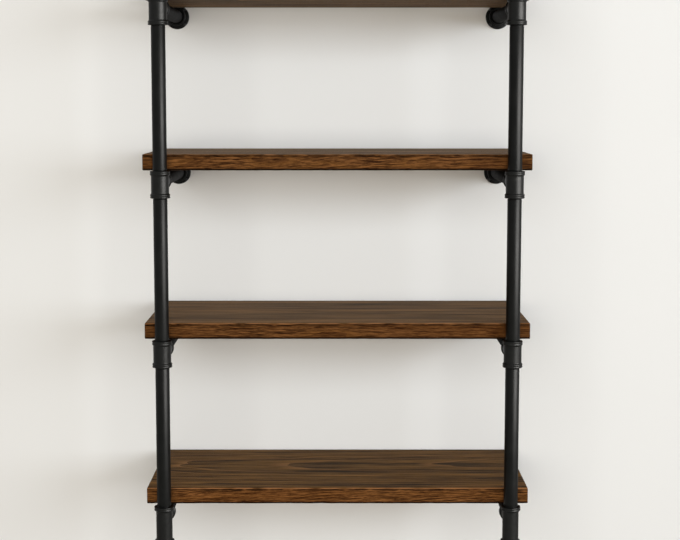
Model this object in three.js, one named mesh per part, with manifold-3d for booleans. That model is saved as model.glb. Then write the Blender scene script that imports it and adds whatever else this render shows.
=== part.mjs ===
// A pipe shelving unit that hangs on a wall: four boards on iron pipe and fittings.
// Millimetres. X runs along the boards, Y runs into the wall and Z runs up.
// The origin lies on the wall plane, in the middle of the pattern of wall flanges.

import * as THREE from 'three';
import { mergeVertices } from 'three/addons/utils/BufferGeometryUtils.js';
import Module from 'manifold-3d';

const wasm = await Module();
wasm.setup();

// Layout. Tier 1 is the top one.
const tierCount = 4;
const tierPitch = 400;

// Boards, each with its long edges eased a little. They run past the uprights by the overhang.
const boardLength = 914;
const boardDepth = 356;
const boardThickness = 38;
const boardArris = 1.2;
const boardOverhang = 43.5;

// Pipe of one size for the uprights, the arms and the short ends.
const pipeRadius = 16.7;
const pipeWall = 3.4;

// Sockets in the fittings, where the pipe ends are screwed in.
const socketDepth = 15;
const socketClearance = 0.3;
const collarLength = 11;
const collarRadius = 23.4;
const collarBevel = 2;

// Tees: the run stands upright and the branch points at the wall.
const teeBodyRadius = 21;
const teeUpperLeg = 23.5;
const teeLowerLeg = 40;
const teeBranchReach = 38;

// The lowest pair of tees is slimmer and has a longer leg below the branch.
const footTeeBodyRadius = 19.2;
const footTeeLowerLeg = 68;

// Wall flanges: a disc against the wall and a hub that takes the arm.
const flangeRadius = 31;
const flangeThickness = 7;
const flangeEdgeBevel = 1.6;
const flangeHubRadius = 20.6;
const flangeHubFillet = 2;
const flangeLength = 24;
const flangeHoleCount = 4;
const flangeHoleCircleRadius = 26.2;
const flangeHoleRadius = 2.6;

// Wall screws with pan heads.
const screwShankRadius = 2.1;
const screwHeadRadius = 4;
const screwHeadHeight = 2.6;
const screwLength = 30;
const screwPointLength = 5;

// Short pipes past the top and bottom tees, and the round caps on them.
const topStubShows = 80;
const bottomStubShows = 40;
const capLength = 30;
const capRadius = 20.6;
const capCollarRadius = 22.6;
const capCollarLength = 8;

// Fits between pieces that touch on the real unit.
const seatGap = 0.3;
const boardBackGap = 1;
const cutOverrun = 5;

// Facets round a pipe or fitting, round a screw or its hole, and along a cap's dome.
const pipeFacets = 20;
const screwFacets = 8;
const domeSteps = 3;

const uprightX = boardLength / 2 - boardOverhang;
const socketRadius = pipeRadius + socketClearance;
const boreRadius = pipeRadius - pipeWall;
const boardBack = -(flangeThickness + boardBackGap);
const boardFront = boardBack - boardDepth;
const uprightY = boardFront - seatGap - pipeRadius;
const boardUnderside = teeUpperLeg + seatGap;

const finishes = {
  iron: { color: 0x303132, roughness: 0.55, metalness: 0.6 },
  pipe: { color: 0x2c2d2e, roughness: 0.42, metalness: 0.6 },
  walnut: { color: 0x5f3d22, roughness: 0.6, metalness: 0 },
  screw: { color: 0x262627, roughness: 0.35, metalness: 0.8 },
};

const unit = new THREE.Group();

function addPiece(name, geometry, finish) {
  const mesh = new THREE.Mesh(geometry, new THREE.MeshStandardMaterial(finishes[finish]));
  mesh.name = name;
  unit.add(mesh);
  return mesh;
}

// A lathe turned about Y from [radius, height] pairs. Its outer wall is listed upwards.
function turned(outline, facets) {
  const points = outline.map(([radius, height]) => new THREE.Vector2(radius, height));
  return new THREE.LatheGeometry(points, facets);
}

function stoodUp(geometry) {
  return geometry.rotateX(Math.PI / 2);
}

// Leaves out the collapsed triangles that a lathe has where its outline meets the axis.
function wholeTriangles(corners) {
  const kept = [];
  for (let i = 0; i < corners.length; i += 3) {
    const [a, b, c] = [corners[i], corners[i + 1], corners[i + 2]];
    if (a !== b && b !== c && c !== a) kept.push(a, b, c);
  }
  return kept;
}

function solidOf(geometry) {
  geometry.deleteAttribute('normal');
  geometry.deleteAttribute('uv');
  const merged = mergeVertices(geometry);
  const triVerts = new Uint32Array(wholeTriangles(merged.index.array));
  const vertProperties = new Float32Array(merged.attributes.position.array);
  return new wasm.Manifold(new wasm.Mesh({ numProp: 3, vertProperties, triVerts }));
}

function geometryOf(solid) {
  const { vertProperties, triVerts } = solid.getMesh();
  const geometry = new THREE.BufferGeometry();
  geometry.setAttribute('position', new THREE.BufferAttribute(vertProperties, 3));
  geometry.setIndex(new THREE.BufferAttribute(triVerts, 1));
  geometry.computeVertexNormals();
  return geometry;
}

// The outline of a collar that starts at the mouth of a socket and slopes down to the body.
function collarAbove(mouth, bodyRadius) {
  return [
    [collarRadius - collarBevel, mouth],
    [collarRadius, mouth + collarBevel],
    [collarRadius, mouth + collarLength - collarBevel],
    [bodyRadius, mouth + collarLength],
  ];
}

function collarBelow(mouth, bodyRadius) {
  const upwards = collarAbove(0, bodyRadius);
  return upwards.map(([radius, height]) => [radius, mouth - height]).reverse();
}

function pipeGeometry(length) {
  const outline = [
    [boreRadius, 0],
    [pipeRadius, 0],
    [pipeRadius, length],
    [boreRadius, length],
    [boreRadius, 0],
  ];
  return turned(outline, pipeFacets);
}

function boardGeometry() {
  const plan = new THREE.Shape();
  plan.moveTo(-boardLength / 2, boardFront);
  plan.lineTo(boardLength / 2, boardFront);
  plan.lineTo(boardLength / 2, boardBack);
  plan.lineTo(-boardLength / 2, boardBack);
  plan.closePath();
  const board = new THREE.ExtrudeGeometry(plan, {
    depth: boardThickness - 2 * boardArris,
    bevelEnabled: true,
    bevelThickness: boardArris,
    bevelSize: boardArris,
    bevelOffset: -boardArris,
    bevelSegments: 1,
  });
  return board.translate(0, 0, boardArris);
}

// The upright run of a tee, from the end of its lower leg to the end of its upper leg.
function teeRun(bodyRadius, lowerLeg) {
  const outline = [
    [0, -lowerLeg],
    ...collarAbove(-lowerLeg, bodyRadius),
    ...collarBelow(teeUpperLeg, bodyRadius),
    [0, teeUpperLeg],
  ];
  return solidOf(stoodUp(turned(outline, pipeFacets)));
}

function teeBranch(bodyRadius) {
  const outline = [
    [0, 0],
    [bodyRadius, 0],
    ...collarBelow(teeBranchReach, bodyRadius),
    [0, teeBranchReach],
  ];
  return solidOf(turned(outline, pipeFacets));
}

function teeRunBore(lowerLeg) {
  const outline = [
    [0, -lowerLeg - cutOverrun],
    [socketRadius, -lowerLeg - cutOverrun],
    [socketRadius, socketDepth - lowerLeg],
    [boreRadius, socketDepth - lowerLeg],
    [boreRadius, teeUpperLeg - socketDepth],
    [socketRadius, teeUpperLeg - socketDepth],
    [socketRadius, teeUpperLeg + cutOverrun],
    [0, teeUpperLeg + cutOverrun],
  ];
  return solidOf(stoodUp(turned(outline, pipeFacets)));
}

function teeBranchBore() {
  const outline = [
    [0, 0],
    [boreRadius, 0],
    [boreRadius, teeBranchReach - socketDepth],
    [socketRadius, teeBranchReach - socketDepth],
    [socketRadius, teeBranchReach + cutOverrun],
    [0, teeBranchReach + cutOverrun],
  ];
  return solidOf(turned(outline, pipeFacets));
}

function teeGeometry(bodyRadius, lowerLeg) {
  const casting = teeRun(bodyRadius, lowerLeg).add(teeBranch(bodyRadius));
  return geometryOf(casting.subtract(teeRunBore(lowerLeg)).subtract(teeBranchBore()));
}

function flangeBlank() {
  const outline = [
    [socketRadius, -flangeLength],
    ...collarAbove(-flangeLength, flangeHubRadius),
    [flangeHubRadius, -flangeThickness - flangeHubFillet],
    [flangeHubRadius + flangeHubFillet, -flangeThickness],
    [flangeRadius - flangeEdgeBevel, -flangeThickness],
    [flangeRadius, flangeEdgeBevel - flangeThickness],
    [flangeRadius, 0],
    [boreRadius, 0],
    [boreRadius, socketDepth - flangeLength],
    [socketRadius, socketDepth - flangeLength],
    [socketRadius, -flangeLength],
  ];
  return solidOf(turned(outline, pipeFacets));
}

function screwHole() {
  const length = flangeThickness + 2 * cutOverrun;
  const hole = new THREE.CylinderGeometry(flangeHoleRadius, flangeHoleRadius, length, screwFacets);
  return hole.translate(0, -flangeThickness / 2, 0);
}

// Where hole number i lies in the flange's own plane, seen from the room.
function holePlace(i) {
  const angle = (2 * Math.PI * (i + 1 / 2)) / flangeHoleCount;
  return [flangeHoleCircleRadius * Math.cos(angle), flangeHoleCircleRadius * Math.sin(angle)];
}

function flangeGeometry() {
  let flange = flangeBlank();
  for (let i = 0; i < flangeHoleCount; i += 1) {
    const [x, z] = holePlace(i);
    flange = flange.subtract(solidOf(screwHole().translate(x, 0, z)));
  }
  return geometryOf(flange);
}

// A screw along Y with the underside of its head at zero and its point towards the wall.
function screwGeometry() {
  const crownShares = [
    [0.6, 1],
    [0.9, 0.75],
    [1, 0.4],
  ];
  const outline = [
    [0, -screwHeadHeight],
    ...crownShares.map(([out, up]) => [out * screwHeadRadius, -up * screwHeadHeight]),
    [screwHeadRadius, 0],
    [screwShankRadius, 0],
    [screwShankRadius, screwLength - screwPointLength],
    [0, screwLength],
  ];
  return turned(outline, screwFacets);
}

// A cap along Z with its open end at zero and its dome upwards.
function capGeometry() {
  const domeHeight = capLength - socketDepth;
  const dome = [];
  for (let i = 0; i <= domeSteps; i += 1) {
    const angle = (Math.PI / 2) * (i / domeSteps);
    const radius = i < domeSteps ? capRadius * Math.cos(angle) : 0;
    dome.push([radius, socketDepth + domeHeight * Math.sin(angle)]);
  }
  const outline = [
    [0, socketDepth + socketClearance],
    [socketRadius, socketDepth + socketClearance],
    [socketRadius, 0],
    [capCollarRadius, 0],
    [capCollarRadius, capCollarLength],
    [capRadius, capCollarLength],
    ...dome,
  ];
  return stoodUp(turned(outline, pipeFacets));
}

function tierHeight(tier) {
  return tierPitch * ((tierCount + 1) / 2 - tier);
}

function lowerLegOf(tier) {
  return tier === tierCount ? footTeeLowerLeg : teeLowerLeg;
}

// Heights where the pipe ends stop inside a tee's upper and lower sockets.
function pipeEndAbove(tier) {
  return tierHeight(tier) + teeUpperLeg - socketDepth + socketClearance;
}

function pipeEndBelow(tier) {
  return tierHeight(tier) - lowerLegOf(tier) + socketDepth - socketClearance;
}

function addUprightPipe(name, x, bottom, top) {
  const pipe = addPiece(name, stoodUp(pipeGeometry(top - bottom)), 'pipe');
  pipe.position.set(x, uprightY, bottom);
}

function addTee(name, x, tier) {
  const isFoot = tier === tierCount;
  const bodyRadius = isFoot ? footTeeBodyRadius : teeBodyRadius;
  const tee = addPiece(name, teeGeometry(bodyRadius, lowerLegOf(tier)), 'iron');
  tee.position.set(x, uprightY, tierHeight(tier));
}

function addArm(name, x, tier) {
  const start = uprightY + teeBranchReach - socketDepth + socketClearance;
  const end = socketDepth - flangeLength - socketClearance;
  const arm = addPiece(name, pipeGeometry(end - start), 'pipe');
  arm.position.set(x, start, tierHeight(tier));
}

// Two of a flange's four screws, in the opposite holes above and below the hub.
function addScrews(side, x, tier) {
  const holes = { upper: 0, lower: 2 };
  for (const [place, hole] of Object.entries(holes)) {
    const [across, up] = holePlace(hole);
    const screw = addPiece(`wall_screw_${side}_${tier}_${place}`, screwGeometry(), 'screw');
    screw.position.set(x + across, -flangeThickness - seatGap, tierHeight(tier) + up);
  }
}

function addSide(side, x) {
  for (let tier = 1; tier <= tierCount; tier += 1) {
    addTee(`tee_${side}_${tier}`, x, tier);
    addArm(`arm_${side}_${tier}`, x, tier);
    const flange = addPiece(`wall_flange_${side}_${tier}`, flangeGeometry(), 'iron');
    flange.position.set(x, 0, tierHeight(tier));
    addScrews(side, x, tier);
  }
  for (let tier = 1; tier < tierCount; tier += 1) {
    addUprightPipe(`upright_${side}_${tier}`, x, pipeEndAbove(tier + 1), pipeEndBelow(tier));
  }
  addEnds(side, x);
}

function addEnds(side, x) {
  const topCapStart = tierHeight(1) + teeUpperLeg + topStubShows;
  const topPipeEnd = topCapStart + socketDepth - socketClearance;
  addUprightPipe(`top_stub_${side}`, x, pipeEndAbove(1), topPipeEnd);
  const topCap = addPiece(`top_cap_${side}`, capGeometry(), 'iron');
  topCap.position.set(x, uprightY, topCapStart);

  const bottomCapStart = tierHeight(tierCount) - footTeeLowerLeg - bottomStubShows;
  const bottomPipeEnd = bottomCapStart - socketDepth + socketClearance;
  addUprightPipe(`bottom_stub_${side}`, x, bottomPipeEnd, pipeEndBelow(tierCount));
  const bottomCap = addPiece(`bottom_cap_${side}`, capGeometry(), 'iron');
  bottomCap.position.set(x, uprightY, bottomCapStart);
  bottomCap.rotation.set(Math.PI, 0, 0);
}

for (let tier = 1; tier <= tierCount; tier += 1) {
  const board = addPiece(`board_${tier}`, boardGeometry(), 'walnut');
  board.position.set(0, 0, tierHeight(tier) + boardUnderside);
}

addSide('left', -uprightX);
addSide('right', uprightX);

export default unit;
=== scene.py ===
import math
import random

import bmesh
import bpy
from mathutils import Matrix, Vector, noise


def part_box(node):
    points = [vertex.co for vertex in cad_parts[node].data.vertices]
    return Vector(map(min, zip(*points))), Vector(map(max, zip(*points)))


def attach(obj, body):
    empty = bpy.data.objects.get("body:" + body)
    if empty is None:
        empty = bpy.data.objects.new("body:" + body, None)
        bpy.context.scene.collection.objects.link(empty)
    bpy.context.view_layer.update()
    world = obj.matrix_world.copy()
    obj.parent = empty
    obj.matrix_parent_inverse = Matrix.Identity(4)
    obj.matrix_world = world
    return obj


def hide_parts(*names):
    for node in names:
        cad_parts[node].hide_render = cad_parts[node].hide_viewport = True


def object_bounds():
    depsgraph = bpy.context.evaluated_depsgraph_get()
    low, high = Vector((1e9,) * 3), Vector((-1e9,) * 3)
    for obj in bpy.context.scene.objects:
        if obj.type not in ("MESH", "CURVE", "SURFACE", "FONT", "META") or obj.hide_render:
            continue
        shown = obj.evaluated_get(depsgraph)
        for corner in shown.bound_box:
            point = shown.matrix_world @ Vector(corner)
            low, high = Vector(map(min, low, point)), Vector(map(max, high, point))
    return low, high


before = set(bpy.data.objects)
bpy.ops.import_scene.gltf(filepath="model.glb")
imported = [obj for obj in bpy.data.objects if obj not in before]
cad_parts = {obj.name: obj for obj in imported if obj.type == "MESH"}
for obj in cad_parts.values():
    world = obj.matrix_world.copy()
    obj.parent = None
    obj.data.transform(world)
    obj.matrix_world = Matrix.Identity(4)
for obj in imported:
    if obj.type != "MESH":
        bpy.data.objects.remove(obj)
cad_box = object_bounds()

# The camera
# It stands well back from the wall, level with the upper bay, and looks a little down. A small shift
# frames the photograph's stretch with less tilt, so that the uprights stay near parallel.
image_width = 680
focal_pixels = 1345.7
camera_back = 3.513
camera_up = 0.397
camera_pitch = math.radians(5.68)
shift_right = -2.6
shift_down = 40

camera_data = bpy.data.cameras.new("camera")
camera_data.lens = focal_pixels / image_width * camera_data.sensor_width
camera_data.shift_x = -shift_right / image_width
camera_data.shift_y = -shift_down / image_width
camera = bpy.data.objects.new("camera", camera_data)
camera.location = (0, -camera_back, camera_up)
camera.rotation_euler = (math.pi / 2 - camera_pitch, 0, 0)
bpy.context.scene.collection.objects.link(camera)
bpy.context.scene.camera = camera

# The boards
# Four solid planks of walnut, stained dark and oiled. They are sawn and planed, then the front face is
# worked by hand, so its top arris wanders, and it has dried into small checks. The planks lie loose on
# the tees in front and on the flange hubs behind.
plank_arris = 0.0022
arris_steps = 3
plank_columns = 300
rows_behind = (0.0035, 0.005, 0.007, 0.01, 0.014, 0.02, 0.029, 0.041)
row_across = 0.022
rows_below = (
    0.0032, 0.0042, 0.0052, 0.0062, 0.0074, 0.0087, 0.01, 0.0115, 0.0135,
    0.016, 0.019, 0.022, 0.025, 0.028, 0.031, 0.0332, 0.0346,
)
plane_mark_depth = 0.00012
plane_marks_along = 11
plane_marks_across = 16

# The hand work on the front face: how far in it reaches, its hollows, and the chips along both its arrises.
hand_work_reach = 0.007
hollow_depth = 0.0007
hollow_length = 0.06
hollow_height = 0.009
chip_depth = 0.0026
chip_long_wave = 0.085
chip_short_wave = 0.026
chip_long_share = 0.7
chip_short_share = 0.45
chip_everywhere = 0.12
chip_down = 0.012
chip_in = 0.013
chip_curve = 1.5
chip_front_down = 0.009
chip_front_share = 0.35
bottom_chip_share = 0.5
bottom_chip_up = 0.005
bottom_chip_seed = 40

# The checks: how far each reaches to both sides and how far below the top it lies, from least to most.
check_count = 9
check_reaches = (0.012, 0.05)
check_heights = (0.0035, 0.0115)
check_depth = 0.0012
check_width = 0.0014
check_drift = 0.0012
check_bend = 0.04

# The groove below the top arris, which comes and goes along the plank. Painted shade darkens it.
groove_below = 0.0038
groove_width = 0.0013
groove_edge = 1.6
groove_depth = 0.0009
groove_long_wave = 0.045
groove_short_wave = 0.012
groove_everywhere = 0.9
groove_contrast = 2

# Where each mark on the finish ends and how softly: the worked face from the front, the sawn ends from the
# end, the rubbed top arris with its painted highlight from the top and from the front, and the painted shade
# along the foot from below.
worked_band = (0.0026, 0.0016)
sawn_band = (0.0018, 0.0012)
rubbed_highlight_band_down = (0.0024, 0.001)
rubbed_highlight_band_in = (0.0062, 0.0024)
foot_band = (0.0052, 0.0014)
rubbed_highlight_wave = 0.035
rubbed_highlight_contrast = 1.5
rubbed_highlight_least = 0.05


def clamped(value):
    """Keeps a value between nought and one."""
    return max(0, min(1, value))


def fading(distance, end, softness):
    """One near nought, and nought from the end on. The fall between is as long as the softness."""
    return clamped((end - distance) / softness)


def ripple(x, length, seed, layer):
    """A smooth wave along a plank, from minus one to one. Each layer has a wave of its own."""
    return noise.noise(Vector((x / length, seed, layer)))


def hewn_chip(x, seed):
    """How much of an arris is gone at one place along a plank."""
    long_wave = ripple(x, chip_long_wave, seed, 0)
    short_wave = ripple(x, chip_short_wave, seed, 5)
    return chip_depth * max(0, chip_long_share * long_wave + chip_short_share * short_wave + chip_everywhere)


def opened_by(checks, x, below, seed):
    """How far the checks open the front face at one place, from nought to one."""
    opened = 0
    for middle, reach, height in checks:
        along = abs(x - middle) / reach
        if along < 1:
            drift = check_drift * noise.noise(Vector((x / check_bend, middle * 9, seed)))
            aside = abs(below - height - drift) / check_width
            opened = max(opened, (1 - along ** 2) * max(0, 1 - aside))
    return opened


def grooved_at(x, below, seed):
    """How deep the groove below the top arris is at one place, from nought to one."""
    undercut = ripple(x, groove_long_wave, seed, 11) + 0.5 * ripple(x, groove_short_wave, seed, 13)
    along = clamped(groove_everywhere + groove_contrast * undercut)
    return along * clamped(groove_edge - abs(below - groove_below) / groove_width)


def sawn_plank(low, high):
    """Saws one plank, eases its arrises and cuts its faces into rows and columns for the hand work."""
    plank = bmesh.new()
    bmesh.ops.create_cube(plank, size=1)
    bmesh.ops.scale(plank, vec=high - low, verts=plank.verts)
    bmesh.ops.translate(plank, vec=(low + high) / 2, verts=plank.verts)
    bmesh.ops.bevel(
        plank,
        geom=plank.edges[:],
        offset=plank_arris,
        segments=arris_steps,
        profile=0.5,
        affect="EDGES",
        material=-1,
    )
    back_rows = int((high.y - low.y - rows_behind[-1]) / row_across)
    behind_cuts = list(rows_behind) + [rows_behind[-1] + row_across * (i + 1) for i in range(back_rows)]
    cuts = [((0, low.y + behind, 0), (0, 1, 0)) for behind in behind_cuts]
    cuts += [((0, 0, high.z - below), (0, 0, 1)) for below in rows_below]
    for place, direction in cuts:
        everything = plank.verts[:] + plank.edges[:] + plank.faces[:]
        bmesh.ops.bisect_plane(plank, geom=everything, plane_co=place, plane_no=direction)
    length = high.x - low.x
    long_edges = [edge for edge in plank.edges if edge.calc_length() > length / 2]
    bmesh.ops.subdivide_edges(plank, edges=long_edges, cuts=plank_columns, use_grid_fill=True)
    return plank


def plank_mesh(low, high, seed, bare):
    """Works a sawn plank's front face by hand, and marks where it is worked, sawn off, rubbed bare with a
    painted highlight, and darkened with painted shade in its checks, groove and foot.
    """
    plank = sawn_plank(low, high)
    worked = plank.verts.layers.float.new("worked")
    rubbed_highlight = plank.verts.layers.float.new("rubbed_highlight")
    crease_shade = plank.verts.layers.float.new("crease_shade")
    sawn_end = plank.verts.layers.float.new("sawn_end")
    chance = random.Random(seed)
    checks = [
        (chance.uniform(low.x, high.x), chance.uniform(*check_reaches), chance.uniform(*check_heights))
        for _ in range(check_count)
    ]
    for vert in plank.verts:
        x, y, z = vert.co
        behind = y - low.y
        below = high.z - z
        above = z - low.z
        near_front = max(0, 1 - behind / hand_work_reach)
        if below < plank_arris / 2 and behind > plank_arris:
            marks = noise.noise(Vector((x * plane_marks_along, y * plane_marks_across, seed * 3)))
            vert.co.z -= plane_mark_depth * (0.5 + 0.5 * marks)
        chip = hewn_chip(x, seed)
        top_share = max(0, 1 - below / chip_down) * max(0, 1 - behind / chip_in)
        vert.co.z -= chip * top_share ** chip_curve
        bottom_chip = bottom_chip_share * hewn_chip(x, seed + bottom_chip_seed)
        vert.co.z += bottom_chip * max(0, 1 - above / bottom_chip_up) * near_front
        hollow = 0.5 + 0.5 * noise.noise(Vector((x / hollow_length, seed, z / hollow_height)))
        opened = opened_by(checks, x, below, seed)
        groove = grooved_at(x, below, seed)
        pushed = hollow_depth * hollow + check_depth * opened + groove_depth * groove
        pushed += chip_front_share * chip * max(0, 1 - below / chip_front_down)
        vert.co.y += pushed * near_front
        vert[worked] = fading(behind, *worked_band)
        vert[sawn_end] = fading(min(x - low.x, high.x - x), *sawn_band)
        # A pale line along the top arris: wood rubbed bare, and a painted highlight on the edge.
        rubbed_and_highlit = max(rubbed_highlight_least, min(1, bare + rubbed_highlight_contrast * ripple(x, rubbed_highlight_wave, seed, 17)))
        vert[rubbed_highlight] = fading(below, *rubbed_highlight_band_down) * fading(behind, *rubbed_highlight_band_in) * rubbed_and_highlit
        # Painted shade in the checks, in the groove below the top arris and along the foot of the front
        # face.
        vert[crease_shade] = clamped(opened + groove + fading(above, *foot_band)) * near_front
    return plank


sharp_corner = math.radians(38)


def new_piece(name, shape, material, slot, *nodes):
    """Makes one finished piece from a bmesh, lets it ride on the unit and stand for its nodes."""
    mesh = bpy.data.meshes.new(name)
    shape.to_mesh(mesh)
    mesh.materials.append(material)
    mesh.shade_smooth()
    mesh.set_sharp_from_angle(angle=sharp_corner)
    piece = bpy.data.objects.new(name, mesh)
    bpy.context.scene.collection.objects.link(piece)
    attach(piece, "root")
    if nodes:
        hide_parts(*nodes)
    return piece


def shade(red, green, blue):
    """A colour as it is read off a picture, 0 to 255, made ready for a shader."""
    steps = [channel / 255 for channel in (red, green, blue)]
    return tuple(s / 12.92 if s < 0.04045 else ((s + 0.055) / 1.055) ** 2.4 for s in steps) + (1,)


def new_finish(name):
    """Opens a finish, and gives it with its tree of steps and its shader."""
    finish = bpy.data.materials.new(name)
    finish.use_nodes = True
    return finish, finish.node_tree, finish.node_tree.nodes["Principled BSDF"]


def lay(tree, kind, feeds, **settings):
    """Adds one step to a finish. A feed is a value for a socket, or another step's socket to join to it."""
    step = tree.nodes.new(kind)
    for setting, value in settings.items():
        setattr(step, setting, value)
    for socket, feed in feeds.items():
        if isinstance(feed, bpy.types.NodeSocket):
            tree.links.new(feed, step.inputs[socket])
        else:
            step.inputs[socket].default_value = feed
    return step


def reckon(tree, operation, *feeds, clamp=False):
    """One sum on numbers that vary over the surface."""
    feeds = dict(enumerate(feeds))
    return lay(tree, "ShaderNodeMath", feeds, operation=operation, use_clamp=clamp).outputs[0]


def spread(tree, feed, low, high):
    """Stretches the part of a number between low and high over nought to one."""
    feeds = {"Value": feed, "From Min": low, "From Max": high}
    return lay(tree, "ShaderNodeMapRange", feeds, clamp=True).outputs["Result"]


def stretched_noise(tree, place, stretch, detail, roughness):
    """Noise with its own stretch for each direction, put out as a number near one half."""
    stretched = lay(tree, "ShaderNodeVectorMath", {0: place, 1: stretch}, operation="MULTIPLY").outputs[0]
    feeds = {"Vector": stretched, "Scale": 1.0, "Detail": detail, "Roughness": roughness}
    return lay(tree, "ShaderNodeTexNoise", feeds).outputs["Fac"]


def blend_shades(tree, share, first, second):
    """Mixes two colours by a share that varies over the surface."""
    feeds = {"Factor": share, 6: first, 7: second}
    return lay(tree, "ShaderNodeMix", feeds, data_type="RGBA", blend_type="MIX").outputs[2]


def tinted(tree, colour, mark, strength, tint):
    """Lays a tint over a colour wherever a mark is, at most as strongly as given."""
    return blend_shades(tree, reckon(tree, "MULTIPLY", mark, strength), colour, tint)


def roughened(tree, height, strength, distance):
    """The direction of a surface with a fine relief on it."""
    feeds = {"Height": height, "Strength": strength, "Distance": distance}
    return lay(tree, "ShaderNodeBump", feeds).outputs[0]


def recipe(name, inlets, outlets):
    """Opens a node group with named inputs, each with its kind and usual value, and named outputs."""
    tree = bpy.data.node_groups.new(name, "ShaderNodeTree")
    for socket, (kind, usual) in inlets.items():
        made = tree.interface.new_socket(name=socket, in_out="INPUT", socket_type=kind)
        if usual is not None:
            made.default_value = usual
    for socket in outlets:
        tree.interface.new_socket(name=socket, in_out="OUTPUT", socket_type="NodeSocketFloat")
    return tree, tree.nodes.new("NodeGroupInput").outputs, tree.nodes.new("NodeGroupOutput").inputs


# Each mark of the wood: how often it comes in a metre, along the plank, from front to back and upwards,
# then how much small detail it has and how strong that is. A range is the part of a mark that shows.
ring_wander = ((1.9, 9.0, 9.0), 2.0, 0.5)
ring_waver = ((7.0, 30.0, 30.0), 1.0, 0.5)
broad_streaks = ((2.6, 42.0, 42.0), 3.0, 0.62)
fine_streaks = ((9.0, 300.0, 300.0), 3.0, 0.6)
long_flecks = ((17.0, 760.0, 760.0), 2.0, 0.6)
short_flecks = ((56.0, 1300.0, 1300.0), 3.0, 0.65)
pores = ((95.0, 1900.0, 1900.0), 1.0, 0.5)
clouds = ((1.1, 19.0, 19.0), 2.0, 0.5)
streak_range = (0.4, 0.6)
fleck_range = (0.44, 0.585)
pore_range = (0.6, 0.72)
cloud_range = (0.35, 0.65)
early_wood_range = (0.0, 0.2)
late_wood_curve = 2.2
ring_waver_share = 0.25
broad_streak_share = 0.65
fine_streak_share = 0.35
long_fleck_share = 0.55
short_fleck_share = 0.45

# The wood's figure, for all four planks: the rings' late wood, the pale line where each ring begins, the
# streaks, the flecks that the hand work opens, the pores, and slow clouds of lighter and darker wood.
grain, log, figure = recipe(
    "plank_figure",
    {
        "Place": ("NodeSocketVector", None),
        "Ring Spacing": ("NodeSocketFloat", 0.006),
        "Wander": ("NodeSocketFloat", 0.04),
    },
    ("Ring", "Line", "Streak", "Fleck", "Pore", "Tone"),
)
from_heart = lay(grain, "ShaderNodeSeparateXYZ", {0: log["Place"]}).outputs
slow_wander = stretched_noise(grain, log["Place"], *ring_wander)
quick_wander = stretched_noise(grain, log["Place"], *ring_waver)
back_squared = reckon(grain, "MULTIPLY", from_heart["Y"], from_heart["Y"])
up_squared = reckon(grain, "MULTIPLY", from_heart["Z"], from_heart["Z"])
heart_distance = reckon(grain, "SQRT", reckon(grain, "ADD", back_squared, up_squared))
pushed_out = reckon(grain, "MULTIPLY_ADD", slow_wander, log["Wander"], heart_distance)
quick_reach = reckon(grain, "MULTIPLY", log["Wander"], ring_waver_share)
pushed_out = reckon(grain, "MULTIPLY_ADD", quick_wander, quick_reach, pushed_out)
ring_share = reckon(grain, "FRACT", reckon(grain, "DIVIDE", pushed_out, log["Ring Spacing"]))
late_wood = reckon(grain, "POWER", ring_share, late_wood_curve)
early_edge = reckon(grain, "SUBTRACT", 1.0, spread(grain, ring_share, *early_wood_range))
grain.links.new(late_wood, figure["Ring"])
grain.links.new(early_edge, figure["Line"])
broad_streak = stretched_noise(grain, log["Place"], *broad_streaks)
fine_streak = stretched_noise(grain, log["Place"], *fine_streaks)
streak = reckon(grain, "MULTIPLY", broad_streak, broad_streak_share)
streak = reckon(grain, "MULTIPLY_ADD", fine_streak, fine_streak_share, streak)
grain.links.new(spread(grain, streak, *streak_range), figure["Streak"])
long_fleck = stretched_noise(grain, log["Place"], *long_flecks)
short_fleck = stretched_noise(grain, log["Place"], *short_flecks)
fleck = reckon(grain, "MULTIPLY", long_fleck, long_fleck_share)
fleck = reckon(grain, "MULTIPLY_ADD", short_fleck, short_fleck_share, fleck)
grain.links.new(spread(grain, fleck, *fleck_range), figure["Fleck"])
grain.links.new(spread(grain, stretched_noise(grain, log["Place"], *pores), *pore_range), figure["Pore"])
grain.links.new(spread(grain, stretched_noise(grain, log["Place"], *clouds), *cloud_range), figure["Tone"])

# The colours of the planed faces and of the face worked by hand. Each tint has how strongly it lies at
# most, then its colour.
planed_dark = shade(40, 23, 3)
planed_pale = shade(147, 103, 43)
planed_ring = (0.47, shade(40, 24, 6))
planed_line = (0.9, shade(160, 113, 64))
planed_cloud = (0.36, shade(34, 19, 4))
end_grain = (0.6, shade(56, 32, 12))
# Painted shade in a thin band on the top and the underside just in front of the back face, where the plank
# nears the wall.
back_shade_width = 0.008
back_shade_full = 0.7
back_shade_ends = 0.2
painted_back_shade = (0.85, shade(14, 7, 2))
hewn_dark = shade(27, 9, 1)
hewn_pale = (142, 94, 52)
hewn_ring = (0.22, shade(46, 20, 1))
hewn_line = (0.2, shade(140, 92, 42))
hewn_cloud = (0.35, shade(70, 36, 6))
# Rubbed bare wood and a painted highlight along the top arris.
rubbed_wood_and_highlight = (0.7, shade(174, 120, 76))
# Painted shade in the checks, the groove and along the foot of the front face.
painted_crease_shade = (0.95, shade(14, 6, 2))
open_pore = (0.45, shade(34, 20, 10))

# The oil, and how the streaks, flecks and pores change its roughness and stand out from the surface.
oil_gloss = 0.02
oil_sheen = 0.078
oil_sheen_roughness = 0.3
oil_sheen_tint = shade(255, 236, 214)
oil_roughness = 0.62
streak_roughness = -0.12
pore_roughness = 0.2
fleck_relief = 0.5
streak_relief = 0.4
pore_relief = -0.6
wood_relief = (0.5, 0.0004)


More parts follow.
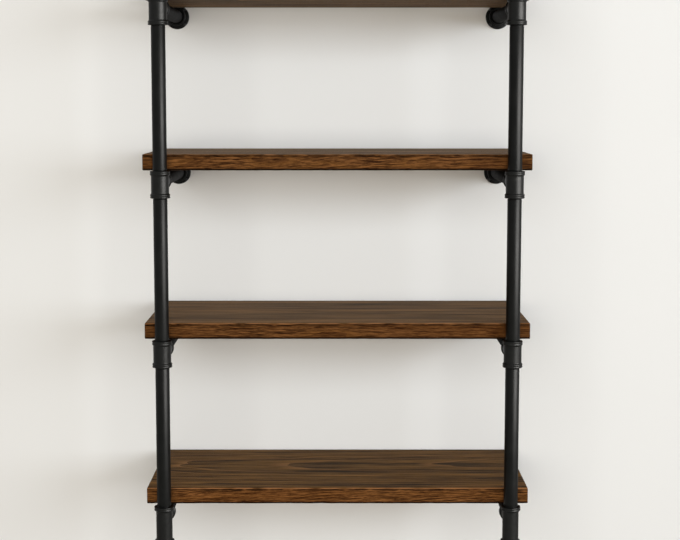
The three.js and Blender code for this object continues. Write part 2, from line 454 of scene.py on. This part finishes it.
def walnut_material(tier, heart, tilt, ring_spacing, wander, stain, back):
    """Oiled walnut from a log of its own. Heart is the middle of the log, stain is how much light the stain
    on the worked face leaves, and back is the plank's back face, in front of which a thin line of painted
    shade lies."""
    walnut, tree, oil = new_finish(f"walnut_{tier}")
    oil.inputs["Specular IOR Level"].default_value = oil_gloss
    oil.inputs["Sheen Weight"].default_value = oil_sheen
    oil.inputs["Sheen Roughness"].default_value = oil_sheen_roughness
    oil.inputs["Sheen Tint"].default_value = oil_sheen_tint
    place = lay(tree, "ShaderNodeTexCoord", {}).outputs["Object"]
    turn = {"Vector": place, "Location": heart, "Rotation": tilt}
    in_log = lay(tree, "ShaderNodeMapping", turn, vector_type="TEXTURE").outputs[0]
    growth = {"Place": in_log, "Ring Spacing": ring_spacing, "Wander": wander}
    ring, line, streak, fleck, pore, tone = lay(tree, "ShaderNodeGroup", growth, node_tree=grain).outputs[:]
    worked, rubbed_highlight, crease_shade, sawn_end = [
        lay(tree, "ShaderNodeAttribute", {}, attribute_name=mark).outputs["Fac"]
        for mark in ("worked", "rubbed_highlight", "crease_shade", "sawn_end")
    ]
    planed = blend_shades(tree, streak, planed_dark, planed_pale)
    planed = tinted(tree, planed, ring, *planed_ring)
    planed = tinted(tree, planed, line, *planed_line)
    planed = tinted(tree, planed, tone, *planed_cloud)
    planed = tinted(tree, planed, sawn_end, *end_grain)
    depth = lay(tree, "ShaderNodeSeparateXYZ", {0: place}).outputs["Y"]
    back_shade = spread(tree, depth, back - back_shade_width, back - back_shade_full * back_shade_width)
    behind_line = spread(tree, depth, back - back_shade_ends * back_shade_width, back)
    back_shade = reckon(tree, "SUBTRACT", back_shade, behind_line)
    planed = tinted(tree, planed, back_shade, *painted_back_shade)
    hewn = blend_shades(tree, fleck, hewn_dark, shade(*[stain * channel for channel in hewn_pale]))
    hewn = tinted(tree, hewn, ring, *hewn_ring)
    hewn = tinted(tree, hewn, line, *hewn_line)
    hewn = tinted(tree, hewn, tone, *hewn_cloud)
    colour = blend_shades(tree, worked, planed, hewn)
    colour = tinted(tree, colour, rubbed_highlight, *rubbed_wood_and_highlight)
    colour = tinted(tree, colour, crease_shade, *painted_crease_shade)
    colour = tinted(tree, colour, pore, *open_pore)
    tree.links.new(colour, oil.inputs["Base Color"])
    rough = reckon(tree, "MULTIPLY_ADD", streak, streak_roughness, oil_roughness)
    rough = reckon(tree, "MULTIPLY_ADD", pore, pore_roughness, rough)
    tree.links.new(rough, oil.inputs["Roughness"])
    relief = reckon(tree, "MULTIPLY", streak, streak_relief)
    relief = reckon(tree, "MULTIPLY_ADD", fleck, fleck_relief, relief)
    relief = reckon(tree, "MULTIPLY_ADD", pore, pore_relief, relief)
    tree.links.new(roughened(tree, relief, *wood_relief), oil.inputs["Normal"])
    return walnut


# For each plank, the middle of its log from the plank's own middle, how far the log leans, its ring spacing,
# how far its rings wander, how much light its stain leaves and how strongly its top arris is rubbed bare and
# painted with a highlight.
logs = {
    1: ((0.0, -0.05, 0.085), (0, 0.01, 0.02), 0.0085, 0.05, 1.0, 0.5),
    2: ((0.0, 0.26, -0.1), (0, -0.012, -0.015), 0.012, 0.05, 0.91, 0.1),
    3: ((0.0, 0.3, -0.09), (0, 0.006, 0.008), 0.014, 0.04, 0.88, 0.7),
    4: ((0.0, 0.03, -0.105), (0, -0.04, 0.01), 0.013, 0.024, 1.0, 0.8),
}
for tier, (heart, tilt, ring_spacing, wander, stain, bare) in logs.items():
    low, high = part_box(f"board_{tier}")
    middle = (low + high) / 2
    walnut = walnut_material(tier, middle + Vector(heart), tilt, ring_spacing, wander, stain, high.y)
    new_piece(f"plank_{tier}", plank_mesh(low, high, tier, bare), walnut, "walnut", f"board_{tier}")

# The pipes
# Lengths of black steel pipe, one inch nominal, cut to length, threaded at both ends and screwed into the
# fittings. The last turns of each thread stay in sight. The finish is the mill's black varnish.
pipe_radius = 0.0167
pipe_bore = 0.0133
pipe_steps = 64
pipe_end_ease = 0.0007
ease_steps = 4
thread_pitch = 0.0022
thread_depth = 0.0011
thread_rows = 6
thread_from = 0.0115
thread_to = 0.0182
sides = {"left": -1, "right": 1}
tiers = {1: 0.6, 2: 0.2, 3: -0.2, 4: -0.6}
upright_x = 0.4135
upright_y = -0.381


def turned(outline, steps):
    """Turns an outline of (radius, height) points about the upright axis. A third number eases that corner
    first. An outline that starts off the axis is closed."""
    body = bmesh.new()
    points = [body.verts.new((corner[0], 0, corner[1])) for corner in outline]
    pairs = list(zip(points, points[1:]))
    if outline[0][0] > 0:
        pairs.append((points[-1], points[0]))
    for pair in pairs:
        body.edges.new(pair)
    for point, corner in zip(points, outline):
        if len(corner) == 3:
            bmesh.ops.bevel(
                body,
                geom=[point],
                offset=corner[2],
                offset_type="OFFSET",
                segments=ease_steps,
                profile=0.5,
                affect="VERTICES",
                material=-1,
            )
    bmesh.ops.spin(
        body,
        geom=body.verts[:] + body.edges[:],
        cent=(0, 0, 0),
        axis=(0, 0, 1),
        dvec=(0, 0, 0),
        angle=2 * math.pi,
        steps=steps,
        use_merge=True,
    )
    bmesh.ops.remove_doubles(body, verts=body.verts, dist=1e-6)
    bmesh.ops.recalc_face_normals(body, faces=body.faces)
    return body


def cut_thread(body, crest, depth, pitch, start, end):
    """Cuts a screw thread into the outer wall of a turned body. It runs out over one pitch at its end."""
    for vert in body.verts:
        x, y, z = vert.co
        radius = math.hypot(x, y)
        if radius > crest - depth / 2 and min(start, end) <= z <= max(start, end):
            turn = (z / pitch - math.atan2(y, x) / (2 * math.pi)) % 1
            run_out = min(1, abs(end - z) / pitch)
            left = (radius - depth * run_out * (1 - abs(2 * turn - 1))) / radius
            vert.co.x *= left
            vert.co.y *= left


def pipe_mesh(start, end):
    """One length of pipe between two points, with the last turns of a thread at both ends."""
    length = (end - start).length
    row = thread_pitch / thread_rows
    rows = [thread_from + row * i for i in range(int((thread_to - thread_from) / row) + 1)]
    heights = rows + [length - height for height in reversed(rows)]
    outline = [(pipe_bore, 0), (pipe_radius, 0, pipe_end_ease)]
    outline += [(pipe_radius, height) for height in heights]
    outline += [(pipe_radius, length, pipe_end_ease), (pipe_bore, length)]
    body = turned(outline, pipe_steps)
    cut_thread(body, pipe_radius, thread_depth, thread_pitch, thread_from, thread_to)
    cut_thread(body, pipe_radius, thread_depth, thread_pitch, length - thread_from, length - thread_to)
    turn = Vector((0, 0, 1)).rotation_difference(end - start).to_matrix().to_4x4()
    bmesh.ops.transform(body, matrix=Matrix.Translation(start) @ turn, verts=body.verts)
    return body


# How a black coat varies, on pipe and iron alike: in clouds of the given size, and in small specks.
specks_to_a_cloud = 14.0
coat_cloud_range = (0.3, 0.7)
coat_speck_range = (0.58, 0.72)
mottle, skin, spots = recipe(
    "black_mottle",
    {"Place": ("NodeSocketVector", None), "Size": ("NodeSocketFloat", 0.02)},
    ("Cloud", "Speck"),
)
cloud_scale = reckon(mottle, "DIVIDE", 1.0, skin["Size"])
cloud = lay(mottle, "ShaderNodeTexNoise", {"Vector": skin["Place"], "Scale": cloud_scale, "Detail": 3.0})
mottle.links.new(spread(mottle, cloud.outputs["Fac"], *coat_cloud_range), spots["Cloud"])
speck_scale = reckon(mottle, "MULTIPLY", cloud_scale, specks_to_a_cloud)
speck = lay(mottle, "ShaderNodeTexNoise", {"Vector": skin["Place"], "Scale": speck_scale, "Detail": 2.0})
mottle.links.new(spread(mottle, speck.outputs["Fac"], *coat_speck_range), spots["Speck"])


def black_coat(tree, place, size, thick, thin, dust):
    """A black coat's colour, and its clouds and specks. Thick and thin are its darkest and palest black."""
    cloud, speck = lay(tree, "ShaderNodeGroup", {"Place": place, "Size": size}, node_tree=mottle).outputs[:]
    colour = tinted(tree, blend_shades(tree, cloud, thick, thin), speck, *dust)
    return colour, cloud, speck


varnish_thick = shade(4, 5, 4)
varnish_thin = shade(11, 12, 11)
varnish_dust = (0.2, shade(34, 34, 32))
varnish_cloud = 0.03
varnish_cloud_roughness = 0.07
varnish_line_roughness = 0.08
varnish_speck_relief = 0.5
varnish_relief = (0.3, 0.00015)


def pipe_material(name, drawing_lines, gloss, roughness):
    """Black varnished pipe. The mill's drawing lines run along it, so they have a direction."""
    black, tree, varnish = new_finish(name)
    varnish.inputs["Specular IOR Level"].default_value = gloss
    place = lay(tree, "ShaderNodeTexCoord", {}).outputs["Object"]
    colour, cloud, speck = black_coat(tree, place, varnish_cloud, varnish_thick, varnish_thin, varnish_dust)
    lines = stretched_noise(tree, place, *drawing_lines)
    tree.links.new(colour, varnish.inputs["Base Color"])
    rough = reckon(tree, "MULTIPLY_ADD", cloud, varnish_cloud_roughness, roughness)
    rough = reckon(tree, "MULTIPLY_ADD", lines, varnish_line_roughness, rough)
    tree.links.new(rough, varnish.inputs["Roughness"])
    relief = reckon(tree, "MULTIPLY_ADD", speck, varnish_speck_relief, lines)
    tree.links.new(roughened(tree, relief, *varnish_relief), varnish.inputs["Normal"])
    return black


standing_lines = ((420.0, 420.0, 9.0), 3.0, 0.5)
lying_lines = ((420.0, 9.0, 420.0), 3.0, 0.5)
standing_black = pipe_material("pipe_black_standing", standing_lines, gloss=0.2, roughness=0.32)
lying_black = pipe_material("pipe_black_lying", lying_lines, gloss=0.06, roughness=0.55)
for side, sign in sides.items():
    for node in [f"upright_{side}_{n}" for n in (1, 2, 3)] + [f"top_stub_{side}", f"bottom_stub_{side}"]:
        low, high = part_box(node)
        foot = Vector((sign * upright_x, upright_y, low.z))
        head = Vector((sign * upright_x, upright_y, high.z))
        name = node.replace("upright", "riser") + "_pipe"
        new_piece(name, pipe_mesh(foot, head), standing_black, "pipe", node)
    for tier, height in tiers.items():
        low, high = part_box(f"arm_{side}_{tier}")
        front = Vector((sign * upright_x, low.y, height))
        back = Vector((sign * upright_x, high.y, height))
        new_piece(f"bearer_{side}_{tier}", pipe_mesh(front, back), lying_black, "pipe", f"arm_{side}_{tier}")

# The tees
# Cast from malleable iron, with a grooved bead round each mouth and soft inner corners where the branch
# leaves the run. They are bored and threaded for the pipe, and screwed on. The lowest pair is slimmer,
# with a longer lower leg.
socket_radius = 0.017
socket_depth = 0.015
mouth_ease = 0.0016
bead_radius = 0.0234
bead_length = 0.011
bead_shoulder = 0.0022
bead_groove = 0.0046
bead_groove_width = 0.0032
bead_groove_depth = 0.0011
tee_bead_eases = (0.0014, 0.0009, 0.0005)
tee_upper_leg = 0.0235
tee_branch_reach = 0.038
tee_kinds = {
    "tee": {"body": 0.021, "lower_leg": 0.04, "tiers": (1, 2, 3)},
    "foot_tee": {"body": 0.0192, "lower_leg": 0.068, "tiers": (4,)},
}
casting_steps = 96
casting_voxel = 0.0008
casting_passes = 2
corner_passes = 24
corner_width = 0.0028
cut_past = 0.002


def bead(mouth, body_radius, inward, eases):
    """The outline of a bead, from the rim of a mouth in to the body. Inward is 1 where that is up and -1
    where it is down, and the eases are those of the rim, the shoulder and the foot."""
    rim_ease, shoulder_ease, foot_ease = eases
    return [
        (bead_radius, mouth, rim_ease),
        (bead_radius, mouth + inward * (bead_length - bead_shoulder), shoulder_ease),
        (body_radius, mouth + inward * bead_length, foot_ease),
    ]


def grooved_bead(mouth, body_radius, inward):
    """A tee's bead, with the shallow groove that runs round it."""
    rim, shoulder, foot = bead(mouth, body_radius, inward, tee_bead_eases)
    groove = [
        (bead_radius, mouth + inward * (bead_groove - bead_groove_width / 2)),
        (bead_radius - bead_groove_depth, mouth + inward * bead_groove),
        (bead_radius, mouth + inward * (bead_groove + bead_groove_width / 2)),
    ]
    return [rim] + groove + [shoulder, foot]


def leg(body_radius, start, end, has_two_beads):
    """A solid leg of a tee between two heights, with a bead at its end, or at both."""
    upper = grooved_bead(end, body_radius, -1)[::-1] + [(0, end)]
    lower = grooved_bead(start, body_radius, 1) if has_two_beads else [(body_radius, start)]
    return turned([(0, start)] + lower + upper, casting_steps)


def blank_object(shape):
    """A bare object from a shape, for a modifier to work on."""
    mesh = bpy.data.meshes.new("blank")
    shape.to_mesh(mesh)
    shape.free()
    piece = bpy.data.objects.new("blank", mesh)
    bpy.context.scene.collection.objects.link(piece)
    return piece


def clear_away(piece):
    """Takes an object and its mesh away again."""
    blank = piece.data
    bpy.data.objects.remove(piece)
    bpy.data.meshes.remove(blank)


def shape_of(piece):
    """The shape of a bare object once its modifiers have run. The object is then cleared away."""
    finished = piece.evaluated_get(bpy.context.evaluated_depsgraph_get())
    shape = bmesh.new()
    shape.from_mesh(finished.to_mesh())
    finished.to_mesh_clear()
    clear_away(piece)
    return shape


def cut_out(shape, tool):
    """Takes one closed shape out of another."""
    piece = blank_object(shape)
    cutter = blank_object(tool)
    cut = piece.modifiers.new("cut", "BOOLEAN")
    cut.operation = "DIFFERENCE"
    cut.solver = "EXACT"
    cut.object = cutter
    result = shape_of(piece)
    clear_away(cutter)
    return result


def turned_away(shape, direction):
    """Points a shape's upright axis in another direction."""
    turn = Vector((0, 0, 1)).rotation_difference(Vector(direction)).to_matrix()
    bmesh.ops.transform(shape, matrix=turn.to_4x4(), verts=shape.verts)
    return shape


def socket_tool(mouth, inward, bore_to):
    """The space of one socket with its eased mouth, and of the waterway beyond it."""
    outline = [
        (0, mouth - inward * cut_past),
        (socket_radius + mouth_ease, mouth - inward * cut_past),
        (socket_radius + mouth_ease, mouth),
        (socket_radius, mouth + inward * mouth_ease),
        (socket_radius, mouth + inward * socket_depth),
        (pipe_bore, mouth + inward * socket_depth),
        (pipe_bore, bore_to),
        (0, bore_to),
    ]
    return turned(outline, pipe_steps)


def tee_mesh(body_radius, lower_leg):
    """Casts one tee round its own middle: the run is upright and the branch points at the wall."""
    casting = leg(body_radius, -lower_leg, tee_upper_leg, True)
    branch = bpy.data.meshes.new("branch")
    turned_away(leg(body_radius, 0, tee_branch_reach, False), (0, 1, 0)).to_mesh(branch)
    casting.from_mesh(branch)
    bpy.data.meshes.remove(branch)
    piece = blank_object(casting)
    melt = piece.modifiers.new("melt", "REMESH")
    melt.mode = "VOXEL"
    melt.voxel_size = casting_voxel
    ease = piece.modifiers.new("ease", "SMOOTH")
    ease.factor = 0.5
    ease.iterations = casting_passes
    casting = shape_of(piece)
    corner = [v for v in casting.verts if v.co.y > 0 and abs(v.co.y - abs(v.co.z)) < corner_width]
    for _ in range(corner_passes):
        bmesh.ops.smooth_vert(
            casting, verts=corner, factor=0.5, use_axis_x=True, use_axis_y=True, use_axis_z=True
        )
    casting = cut_out(casting, socket_tool(-lower_leg, 1, tee_upper_leg - socket_depth))
    casting = cut_out(casting, socket_tool(tee_upper_leg, -1, 0))
    return cut_out(casting, turned_away(socket_tool(tee_branch_reach, -1, 0), (0, 1, 0)))


iron_thick = shade(7, 8, 7)
iron_thin = shade(15, 16, 15)
iron_dust = (0.25, shade(40, 40, 38))
iron_cloud = 0.012
iron_roughness = 0.34
iron_cloud_roughness = 0.08
iron_relief = (0.45, 0.0004)


def iron_material(name, grain_size, gloss):
    """Cast iron under thin black paint, through which the grain of the casting sand shows."""
    iron, tree, paint = new_finish(name)
    paint.inputs["Specular IOR Level"].default_value = gloss
    place = lay(tree, "ShaderNodeTexCoord", {}).outputs["Object"]
    colour, cloud, _ = black_coat(tree, place, iron_cloud, iron_thick, iron_thin, iron_dust)
    tree.links.new(colour, paint.inputs["Base Color"])
    rough = reckon(tree, "MULTIPLY_ADD", cloud, iron_cloud_roughness, iron_roughness)
    tree.links.new(rough, paint.inputs["Roughness"])
    sand = lay(tree, "ShaderNodeTexNoise", {"Vector": place, "Scale": 1 / grain_size, "Detail": 4.0})
    relief = reckon(tree, "ADD", sand.outputs["Fac"], cloud)
    tree.links.new(roughened(tree, relief, *iron_relief), paint.inputs["Normal"])
    return iron


tee_iron = iron_material("tee_iron", grain_size=0.0013, gloss=0.27)
for kind, sizes in tee_kinds.items():
    casting = tee_mesh(sizes["body"], sizes["lower_leg"])
    for side, sign in sides.items():
        for tier in sizes["tiers"]:
            tee = casting.copy()
            bmesh.ops.translate(tee, vec=(sign * upright_x, upright_y, tiers[tier]), verts=tee.verts)
            new_piece(f"{kind}_casting_{side}_{tier}", tee, tee_iron, "iron", f"tee_{side}_{tier}")

# The wall flanges
# Floor flanges cast from the same iron: a round plate against the wall, a hub that takes the arm, and
# four holes for wood screws. They are faced flat behind and painted black.
flange_radius = 0.031
flange_thickness = 0.007
flange_back_ease = 0.0008
flange_edge_slope = (0.0012, 0.0006)
flange_edge_ease = 0.0012
flange_hub_radius = 0.0206
flange_hub_taper = 0.0002
flange_hub_ease = 0.0019
flange_bead_eases = (0.002, 0.002, 0.0015)
flange_length = 0.024
flange_hole_radius = 0.0026
flange_hole_circle = 0.0262
countersink_width = 0.0011
countersink_depth = 0.0009
countersink_above = 0.0002
hole_steps = 24
hole_angles = [math.radians(degrees) for degrees in (45, 135, 225, 315)]
hole_places = [(flange_hole_circle * math.cos(a), flange_hole_circle * math.sin(a)) for a in hole_angles]


def flange_mesh():
    """Turns one flange about the upright axis, with its back at nought, drills its four holes, and faces it
    into the room."""
    plate = [
        (pipe_bore, 0),
        (flange_radius, 0, flange_back_ease),
        (flange_radius, flange_thickness - flange_edge_slope[1], flange_edge_ease),
        (flange_radius - flange_edge_slope[0], flange_thickness),
        (flange_hub_radius + flange_hub_taper, flange_thickness, flange_hub_ease),
    ]
    hub = bead(flange_length, flange_hub_radius, -1, flange_bead_eases)[::-1]
    socket = [
        (socket_radius + mouth_ease, flange_length),
        (socket_radius, flange_length - mouth_ease),
        (socket_radius, flange_length - socket_depth),
        (pipe_bore, flange_length - socket_depth),
    ]
    flange = turned(plate + hub + socket, casting_steps)
    drill_outline = [
        (0, -cut_past),
        (flange_hole_radius, -cut_past),
        (flange_hole_radius, flange_thickness - countersink_depth),
        (flange_hole_radius + countersink_width, flange_thickness + countersink_above),
        (flange_hole_radius + countersink_width, flange_thickness + cut_past),
        (0, flange_thickness + cut_past),
    ]
    for across, up in hole_places:
        drill = turned(drill_outline, hole_steps)
        bmesh.ops.translate(drill, vec=(across, up, 0), verts=drill.verts)
        flange = cut_out(flange, drill)
    return turned_away(flange, (0, -1, 0))


flange_iron = iron_material("flange_iron", grain_size=0.0016, gloss=0.13)
flange_casting = flange_mesh()
for side, sign in sides.items():
    for tier, height in tiers.items():
        flange = flange_casting.copy()
        bmesh.ops.translate(flange, vec=(sign * upright_x, 0, height), verts=flange.verts)
        new_piece(f"floor_flange_{side}_{tier}", flange, flange_iron, "iron", f"wall_flange_{side}_{tier}")

# The caps
# Domed iron caps with a plain raised rim, screwed on the open ends of the pipe above the top tees and
# below the lowest ones.
cap_radius = 0.0206
cap_rim_radius = 0.0226
cap_rim_length = 0.008
cap_rim_slope = 0.0012
cap_rim_eases = (0.0016, 0.002)
cap_length = 0.03
cap_floor = 0.0153
dome_steps = 10
dome_fullness = 0.8


def cap_mesh():
    """Turns one cap with its mouth at nought and its dome upwards."""
    outline = [
        (0, cap_floor),
        (socket_radius, cap_floor),
        (socket_radius, mouth_ease),
        (socket_radius + mouth_ease, 0),
        (cap_rim_radius, 0, cap_rim_eases[0]),
        (cap_rim_radius, cap_rim_length, cap_rim_eases[1]),
        (cap_radius, cap_rim_length + cap_rim_slope),
    ]
    rise = cap_length - cap_floor
    for step in range(dome_steps):
        angle = math.pi / 2 * step / dome_steps
        outline.append((cap_radius * math.cos(angle) ** dome_fullness, cap_floor + rise * math.sin(angle)))
    outline.append((0, cap_length))
    return turned(outline, casting_steps)


for side, sign in sides.items():
    for end, turn in {"top": 0, "bottom": math.pi}.items():
        low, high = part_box(f"{end}_cap_{side}")
        mouth = low.z if end == "top" else high.z
        cap = cap_mesh()
        bmesh.ops.rotate(cap, cent=(0, 0, 0), matrix=Matrix.Rotation(turn, 3, "X"), verts=cap.verts)
        bmesh.ops.translate(cap, vec=(sign * upright_x, upright_y, mouth), verts=cap.verts)
        new_piece(f"{end}_dome_{side}", cap, tee_iron, "iron", f"{end}_cap_{side}")

# The wall screws
# Black pan-head wood screws with a cross recess, four to a flange. They hold the flanges to the wall, and
# two of each four stand for solids of the frame.
screw_head_radius = 0.004
screw_head_height = 0.0026
screw_head_ease = 0.0006
screw_head_side = 0.45
screw_head_shoulder = (0.8, 0.88)
screw_head_flat = 0.35
screw_shank_radius = 0.0021
screw_core_radius = 0.0014
screw_length = 0.03
screw_point = 0.005
screw_plain_neck = 0.003
screw_seat = 0.0073
screw_pitch = 0.002
screw_thread_rows = 5
screw_steps = 24
recess_width = 0.0009
recess_span = 0.0046
recess_depth = 0.0017
recess_taper = 0.45
first_stop = 17
next_stop = 37


def screw_mesh():
    """One screw along the upright axis: the underside of its head is at nought and its head points up."""
    row = screw_pitch / screw_thread_rows
    thread_end = screw_point - screw_length
    rows = int((-thread_end - screw_plain_neck) / row)
    shank = [(screw_shank_radius, thread_end + row * i) for i in range(rows + 1)]
    head = [
        (screw_head_radius, 0),
        (screw_head_radius, screw_head_side * screw_head_height, screw_head_ease),
        (screw_head_shoulder[0] * screw_head_radius, screw_head_shoulder[1] * screw_head_height),
        (screw_head_flat * screw_head_radius, screw_head_height),
        (0, screw_head_height),
    ]
    screw = turned([(0, -screw_length)] + shank + [(screw_shank_radius, 0)] + head, screw_steps)
    core_depth = screw_shank_radius - screw_core_radius
    cut_thread(screw, screw_shank_radius, core_depth, screw_pitch, thread_end, thread_end + row * rows)
    for angle in (0, math.pi / 2):
        bar = bmesh.new()
        bmesh.ops.create_cube(bar, size=1)
        for vert in bar.verts:
            vert.co.x *= recess_span * (1 if vert.co.z > 0 else recess_taper)
            vert.co.y *= recess_width
            vert.co.z *= 2 * recess_depth
        bmesh.ops.rotate(bar, cent=(0, 0, 0), matrix=Matrix.Rotation(angle, 3, "Z"), verts=bar.verts)
        bmesh.ops.translate(bar, vec=(0, 0, screw_head_height), verts=bar.verts)
        screw = cut_out(screw, bar)
    return screw


screw_lines = ((600.0, 600.0, 600.0), 3.0, 0.5)
screw_black = pipe_material("screw_black", screw_lines, gloss=0.5, roughness=0.36)
screw_blank = screw_mesh()
for side, sign in sides.items():
    for tier, height in tiers.items():
        stands_for = {0: [f"wall_screw_{side}_{tier}_upper"], 2: [f"wall_screw_{side}_{tier}_lower"]}
        for quarter, (across, up) in enumerate(hole_places):
            screw = screw_blank.copy()
            stop = Matrix.Rotation(math.radians(first_stop + next_stop * (tier + 2 * quarter)), 3, "Z")
            bmesh.ops.rotate(screw, cent=(0, 0, 0), matrix=stop, verts=screw.verts)
            turned_away(screw, (0, -1, 0))
            place = (sign * upright_x + across, -screw_seat, height + up)
            bmesh.ops.translate(screw, vec=place, verts=screw.verts)
            name = f"pan_head_{side}_{tier}_{quarter}"
            new_piece(name, screw, screw_black, "screw", *stands_for.get(quarter, []))

# The room
# A pale painted wall right behind the unit and a pale floor below it, which fades into the room. Seen from
# behind, the wall is clear, and it throws no light back on the unit.
wall_gap = 0.0005
wall_half_width = 8
wall_height = 5
wall_white = (0.815, 0.815, 0.815, 1)
wall_roughness = 0.9
wall_gloss = 0.2
floor_drop = 0.6
floor_reach = 8
floor_grey = (0.6, 0.59, 0.58, 1)
floor_roughness = 0.85
floor_fade_start = 2.2
floor_fade_end = 6.5


def stage_plane(name, corner, along, up, material):
    """Spreads one flat sheet of the stage from a corner, along its two sides."""
    sheet = bmesh.new()
    corners = [corner, corner + along, corner + along + up, corner + up]
    sheet.faces.new([sheet.verts.new(c) for c in corners])
    mesh = bpy.data.meshes.new(name)
    sheet.to_mesh(mesh)
    sheet.free()
    mesh.materials.append(material)
    plane = bpy.data.objects.new(name, mesh)
    bpy.context.scene.collection.objects.link(plane)
    return plane


def let_through(tree, share, shader):
    """Makes a paint clear by a share that varies: nought is paint and one is clear."""
    clear = lay(tree, "ShaderNodeBsdfTransparent", {}).outputs[0]
    mixed = lay(tree, "ShaderNodeMixShader", {0: share, 1: shader.outputs[0], 2: clear}).outputs[0]
    tree.links.new(mixed, tree.nodes["Material Output"].inputs["Surface"])


wall_paint, wall_tree, matt = new_finish("wall_paint")
matt.inputs["Base Color"].default_value = wall_white
matt.inputs["Roughness"].default_value = wall_roughness
matt.inputs["Specular IOR Level"].default_value = wall_gloss
let_through(wall_tree, lay(wall_tree, "ShaderNodeNewGeometry", {}).outputs["Backfacing"], matt)

floor_paint, floor_tree, dull = new_finish("floor_paint")
dull.inputs["Base Color"].default_value = floor_grey
dull.inputs["Roughness"].default_value = floor_roughness
spot = lay(floor_tree, "ShaderNodeTexCoord", {}).outputs["Object"]
distance = lay(floor_tree, "ShaderNodeVectorMath", {0: spot}, operation="LENGTH").outputs["Value"]
let_through(floor_tree, spread(floor_tree, distance, floor_fade_start, floor_fade_end), dull)

floor_height = cad_box[0].z - floor_drop
wall = stage_plane(
    "wall",
    Vector((-wall_half_width, wall_gap, floor_height)),
    Vector((2 * wall_half_width, 0, 0)),
    Vector((0, 0, wall_height)),
    wall_paint,
)
wall.visible_shadow = False
wall.visible_diffuse = False
wall.visible_glossy = False
floor = stage_plane(
    "floor",
    Vector((-floor_reach, -floor_reach, floor_height)),
    Vector((2 * floor_reach, 0, 0)),
    Vector((0, 2 * floor_reach, 0)),
    floor_paint,
)
floor.visible_diffuse = False

# The light
# The room's own light is warm, but the camera and the gloss see a neutral grey room. A broad soft lamp
# stands on the right, and two wide ones behind the camera fill the bays from above and from below. One
# more lamp gives only the gleam on the black iron.
room_light = (0.33, 0.29, 0.24, 1)
room_seen = (0.5, 0.49, 0.48, 1)
world = bpy.data.worlds.new("studio")
world.use_nodes = True
sky = world.node_tree
ray = lay(sky, "ShaderNodeLightPath", {}).outputs
seen = reckon(sky, "ADD", ray["Is Camera Ray"], ray["Is Glossy Ray"])
seen = reckon(sky, "ADD", seen, ray["Is Transmission Ray"], clamp=True)
room_colour = blend_shades(sky, seen, room_light, room_seen)
sky.links.new(room_colour, sky.nodes["Background"].inputs["Color"])
bpy.context.scene.world = world

# For each lamp, its place, its width and height, its power and its colour. All of them point at the
# middle of the unit.
lamps = {
    "side_lamp": ((7.4, -6.0, 1.4), (6.6, 3.6), 446, (0.86, 0.93, 1.0)),
    "high_lamp": ((-0.3, -4.6, 1.6), (4.5, 1.3), 66, (0.92, 0.97, 1.0)),
    "low_lamp": ((-0.3, -4.6, 0.2), (4.5, 1.3), 78, (1.0, 0.95, 0.84)),
    "gleam_lamp": ((3.0, -2.7, 0.55), (3.2, 2.2), 275, (1.0, 0.98, 0.94)),
}
for name, (place, (width, height), power, colour) in lamps.items():
    data = bpy.data.lights.new(name, "AREA")
    data.shape = "RECTANGLE"
    data.size = width
    data.size_y = height
    data.energy = power
    data.color = colour
    lamp = bpy.data.objects.new(name, data)
    lamp.location = place
    lamp.rotation_euler = (-lamp.location).to_track_quat("-Z", "Y").to_euler()
    gives_gleam = name == "gleam_lamp"
    lamp.visible_diffuse = not gives_gleam
    lamp.visible_glossy = gives_gleam
    bpy.context.scene.collection.objects.link(lamp)

bpy.context.scene.view_settings.view_transform = "Standard"
